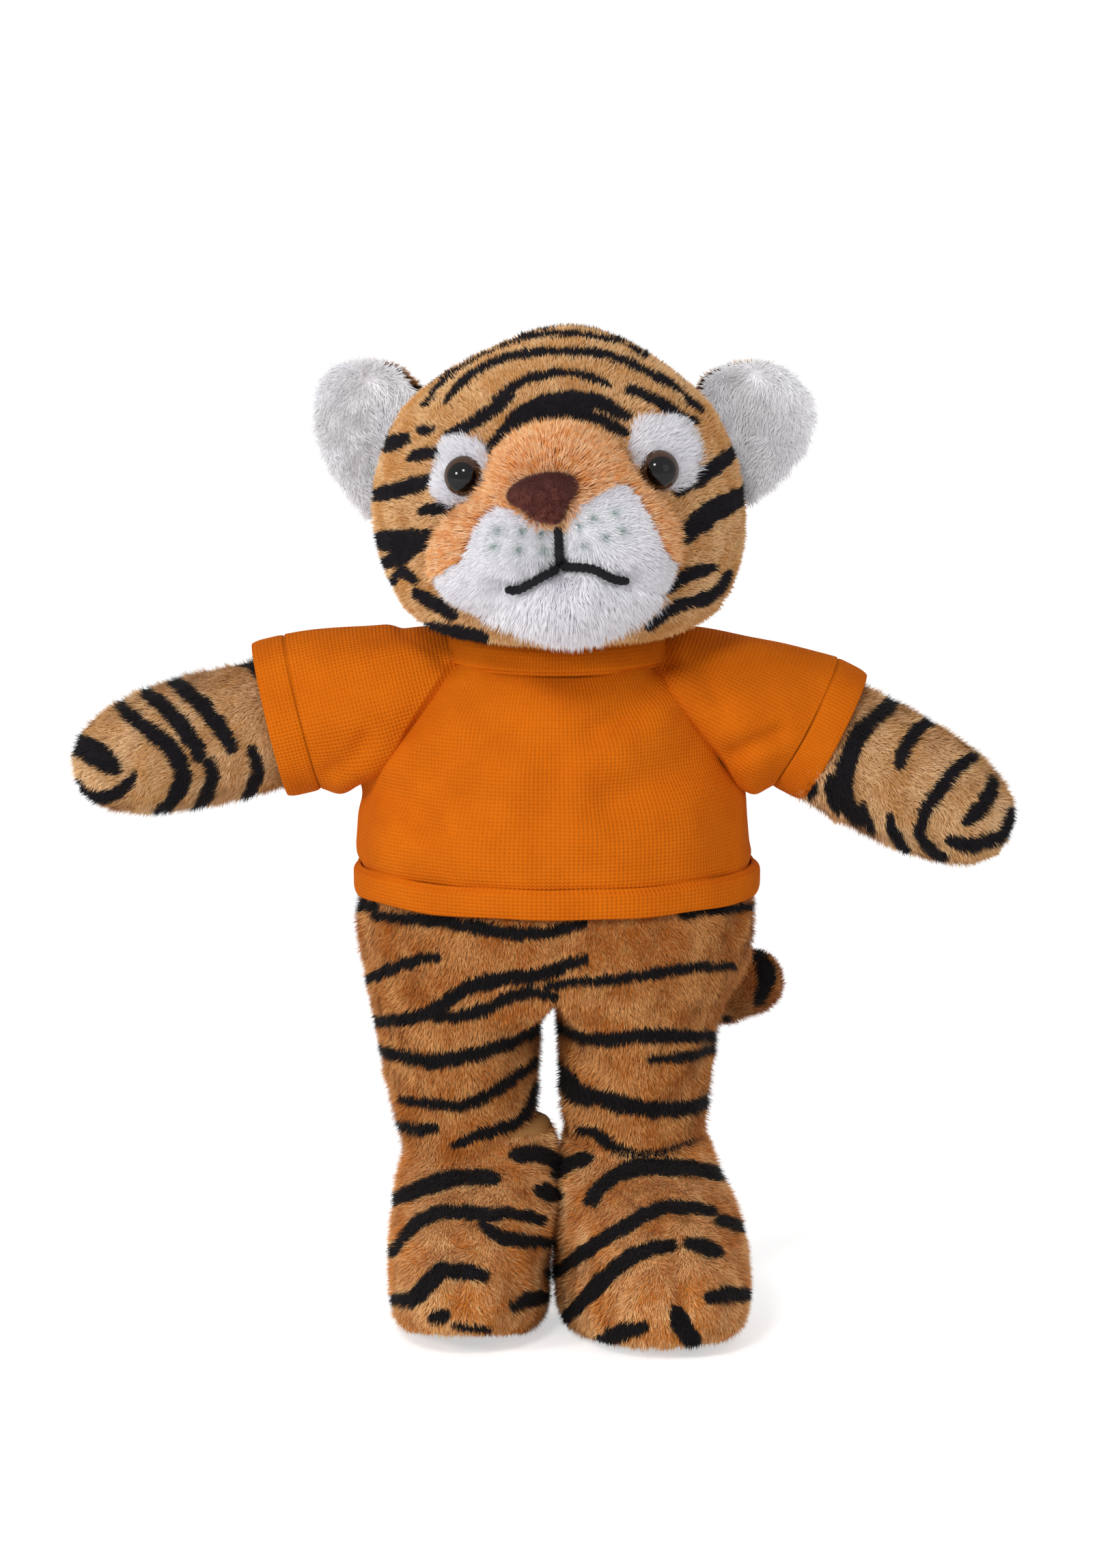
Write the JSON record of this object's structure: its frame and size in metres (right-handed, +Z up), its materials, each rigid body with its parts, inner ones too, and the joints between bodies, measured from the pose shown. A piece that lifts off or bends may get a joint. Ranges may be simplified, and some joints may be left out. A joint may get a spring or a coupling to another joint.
{
  "type": "plush tiger",
  "caption": "Standing stuffed plush tiger with striped pile, a round muzzle, cupped ears, outstretched arms and a plain orange raglan T-shirt.",
  "frame": {"origin": "centre of the bounding box, on the floor under the soles", "axes": "+Z up from the soles to the head, +X towards the toy's left hand, the face towards -Y"},
  "size_m": [0.2044, 0.1042, 0.22],
  "materials": {
    "striped_plush": "short dense pile, tan orange with dark brown-black stripes",
    "orange_plush": "longer soft pile, orange",
    "white_plush": "longer soft pile, white",
    "jersey_orange": "fine cotton jersey, orange, matt",
    "nose_velour": "short brown velour, matt",
    "black_yarn": "twisted black yarn, matt",
    "eye_plastic": "polished dark brown with a black pupil",
    "washer_plastic": "plain moulded, matt",
    "stuffing": "loose polyester fibre"
  },
  "bodies": {
    "torso": {"body_front": "striped_plush", "body_back": "striped_plush", "body_filling": "stuffing", "shirt_front": "jersey_orange", "shirt_back": "jersey_orange", "shirt_collar": "jersey_orange", "shirt_hem": "jersey_orange", "shirt_sleeve_right": "jersey_orange", "shirt_sleeve_left": "jersey_orange"},
    "neck": {"neck_filling": "stuffing"},
    "head": {"head_front": "striped_plush", "head_back": "striped_plush", "head_filling": "stuffing", "snout": "orange_plush", "cheeks": "white_plush", "chin": "white_plush", "muzzle_filling": "stuffing", "nose": "nose_velour", "philtrum": "black_yarn", "mouth_right": "black_yarn", "mouth_left": "black_yarn", "eye_patch_right": "white_plush", "eye_patch_left": "white_plush", "eye_right": "eye_plastic", "eye_left": "eye_plastic", "eye_washer_right": "washer_plastic", "eye_washer_left": "washer_plastic"},
    "tail": {"tail_skin": "striped_plush", "tail_filling": "stuffing"},
    "ear_right": {"ear_front_right": "white_plush", "ear_back_right": "striped_plush"},
    "arm_right": {"arm_skin_right": "striped_plush", "arm_filling_right": "stuffing", "shirt_cuff_right": "jersey_orange"},
    "leg_right": {"leg_skin_right": "striped_plush", "leg_filling_right": "stuffing", "foot_upper_right": "striped_plush", "foot_sole_right": "striped_plush", "foot_filling_right": "stuffing"},
    "ear_left": {"ear_front_left": "white_plush", "ear_back_left": "striped_plush"},
    "arm_left": {"arm_skin_left": "striped_plush", "arm_filling_left": "stuffing", "shirt_cuff_left": "jersey_orange"},
    "leg_left": {"leg_skin_left": "striped_plush", "leg_filling_left": "stuffing", "foot_upper_left": "striped_plush", "foot_sole_left": "striped_plush", "foot_filling_left": "stuffing"}
  },
  "joints": [
    {"name": "neck_turn", "type": "hinge", "parent": "torso", "child": "neck", "pos_m": [0.00257, 0.00323, 0.15], "axis": [0, 0, 1], "range_deg": [-35, 35], "stiffness_Nm_per_rad": 0.06},
    {"name": "neck_nod", "type": "hinge", "parent": "neck", "child": "head", "pos_m": [0.00257, 0.00323, 0.15], "axis": [1, 0, 0], "range_deg": [-8, 12], "stiffness_Nm_per_rad": 0.12, "deforming": ["shirt_collar"]},
    {"name": "arm_raise_right", "type": "hinge", "parent": "torso", "child": "arm_right", "pos_m": [-0.03493, 0.00323, 0.138], "axis": [0, 1, 0], "range_deg": [-24, 50], "stiffness_Nm_per_rad": 0.03, "deforming": ["shirt_sleeve_right"]},
    {"name": "arm_raise_left", "type": "hinge", "parent": "torso", "child": "arm_left", "pos_m": [0.04007, 0.00323, 0.1395], "axis": [0, -1, 0], "range_deg": [-9, 54], "stiffness_Nm_per_rad": 0.03, "deforming": ["shirt_sleeve_left"]},
    {"name": "leg_swing_right", "type": "hinge", "parent": "torso", "child": "leg_right", "pos_m": [-0.01883, 0.00323, 0.073], "axis": [-1, 0, 0], "range_deg": [-10, 60], "stiffness_Nm_per_rad": 0.1},
    {"name": "leg_swing_left", "type": "hinge", "parent": "torso", "child": "leg_left", "pos_m": [0.02027, 0.00323, 0.073], "axis": [-1, 0, 0], "range_deg": [-10, 60], "stiffness_Nm_per_rad": 0.1},
    {"name": "tail_wag", "type": "hinge", "parent": "torso", "child": "tail", "pos_m": [0.00657, 0.03773, 0.084], "axis": [0, 0, 1], "range_deg": [0, 90], "stiffness_Nm_per_rad": 0.004},
    {"name": "ear_fold_right", "type": "hinge", "parent": "head", "child": "ear_right", "pos_m": [-0.03173, 0.00523, 0.1913], "axis": [0.2995, 0, 0.9541], "range_deg": [-20, 20], "stiffness_Nm_per_rad": 0.003},
    {"name": "ear_fold_left", "type": "hinge", "parent": "head", "child": "ear_left", "pos_m": [0.03872, 0.00523, 0.19275], "axis": [-0.3143, 0, 0.9493], "range_deg": [-20, 20], "stiffness_Nm_per_rad": 0.003}
  ]
}
